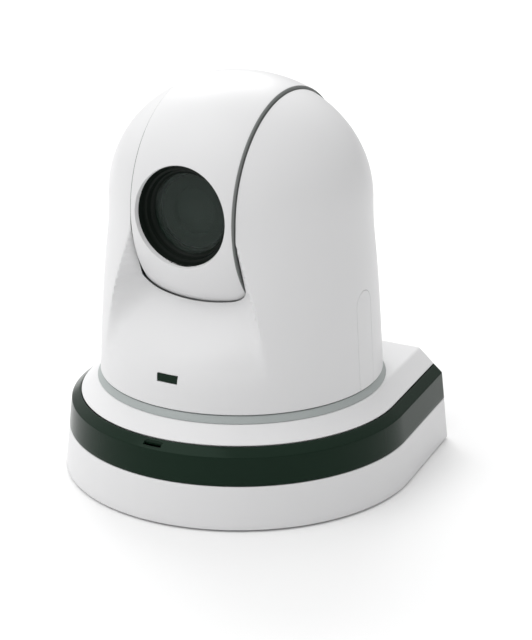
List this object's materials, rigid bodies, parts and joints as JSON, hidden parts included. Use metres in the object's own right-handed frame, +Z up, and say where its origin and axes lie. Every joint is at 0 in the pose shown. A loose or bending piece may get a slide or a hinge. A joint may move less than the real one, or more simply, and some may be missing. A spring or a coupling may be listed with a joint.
{
  "type": "pan tilt zoom camera",
  "caption": "Desktop pan, tilt and zoom video camera: a round-fronted base with a dark band, a domed turning head and a tilting drum with a recessed lens.",
  "frame": {"origin": "pan axis at the plane the feet stand on, which is also the mouth of the tripod socket", "axes": "+Z up along the pan axis, -Y forward out of the lens, +X to the right of a person looking at the lens, along the tilt axis"},
  "size_m": [0.1598, 0.1445, 0.1777],
  "materials": {
    "white_housing": "fine satin moulded",
    "smoked_plastic": "polished smoked, infrared clear",
    "grey_ring": "fine satin",
    "black_plastic": "matt black",
    "lens_barrel_black": "matt baffle black",
    "glass": "coated optical glass",
    "rubber": "matt",
    "sheet_steel": "zinc plated",
    "die_cast": "cast or turned",
    "bright_steel": "bright nickel or ground steel",
    "brass": "machined",
    "gear_plastic": "natural acetal",
    "circuit_board": "solder-masked laminate"
  },
  "bodies": {
    "base": {"bottom_plate": "sheet_steel", "tripod_socket": "brass", "rubber_feet": "rubber", "base_screws": "bright_steel", "lower_shell": "white_housing", "smoked_band": "smoked_plastic", "upper_cover": "white_housing", "neck_ring": "grey_ring", "ir_receiver_window": "smoked_plastic", "rear_panel": "black_plastic", "lan_jack": "black_plastic", "control_jack": "black_plastic", "jack_contacts": "brass", "hdmi_jack": "bright_steel", "sdi_connector": "bright_steel", "sdi_insulator": "gear_plastic", "mic_jack": "black_plastic", "dc_inlet": "black_plastic", "mode_switch_body": "black_plastic", "main_board": "circuit_board", "board_standoffs": "bright_steel", "processor_heatsink": "die_cast", "pan_frame": "die_cast", "pan_bearing_outer": "bright_steel", "pan_bearing_balls": "bright_steel", "pan_motor": "die_cast", "pan_motor_bracket": "sheet_steel"},
    "head": {"pan_spindle": "bright_steel", "pan_bearing_inner": "bright_steel", "pan_gear": "gear_plastic", "turntable": "die_cast", "head_housing": "white_housing", "head_rear_cover": "white_housing", "side_inlays": "white_housing", "tally_window": "smoked_plastic", "uprights": "sheet_steel", "tilt_bearings": "gear_plastic", "tilt_motor": "die_cast", "tilt_motor_bracket": "sheet_steel", "head_board": "circuit_board"},
    "drum": {"drum_front": "white_housing", "drum_rear": "white_housing", "lens_bezel": "black_plastic", "front_glass": "glass", "lens_barrel": "lens_barrel_black", "front_element": "glass", "guide_rods": "bright_steel", "camera_block": "black_plastic", "image_sensor": "circuit_board", "sensor_board": "circuit_board", "drum_frame": "sheet_steel", "trunnions": "bright_steel", "tilt_gear": "gear_plastic"},
    "pan_motor_rotor": {"pan_pinion": "brass"},
    "tilt_motor_rotor": {"tilt_pinion": "brass"},
    "zoom_group": {"zoom_carriage": "black_plastic", "zoom_lens": "glass"},
    "focus_group": {"focus_carriage": "black_plastic", "focus_lens": "glass"},
    "mode_switch": {"mode_switch_slider": "black_plastic"}
  },
  "joints": [
    {"name": "pan", "type": "hinge", "parent": "base", "child": "head", "pos_m": [0, 0, 0.03], "axis": [0, 0, 1], "range_deg": [-175, 175]},
    {"name": "tilt", "type": "hinge", "parent": "head", "child": "drum", "pos_m": [0, 0, 0.1243], "axis": [-1, 0, 0], "range_deg": [-30, 90]},
    {"name": "pan_motor_spin", "type": "hinge", "parent": "base", "child": "pan_motor_rotor", "pos_m": [-0.04254, -0.0075, 0.037], "axis": [0, 0, 1], "range_deg": [-880, 880]},
    {"name": "tilt_motor_spin", "type": "hinge", "parent": "head", "child": "tilt_motor_rotor", "pos_m": [0.036, 0, 0.0907], "axis": [-1, 0, 0], "range_deg": [-335, 115]},
    {"name": "zoom", "type": "slide", "parent": "drum", "child": "zoom_group", "axis": [0, 1, 0], "range_m": [0, 0.008]},
    {"name": "focus", "type": "slide", "parent": "drum", "child": "focus_group", "axis": [0, 1, 0], "range_m": [-0.002, 0.003]},
    {"name": "mode_switch_slide", "type": "slide", "parent": "base", "child": "mode_switch", "axis": [1, 0, 0], "range_m": [0, 0.004]}
  ],
  "couplings": [
    {"joint": "pan_motor_spin", "follows": "pan", "ratio": -5},
    {"joint": "tilt_motor_spin", "follows": "tilt", "ratio": -3.6667}
  ]
}
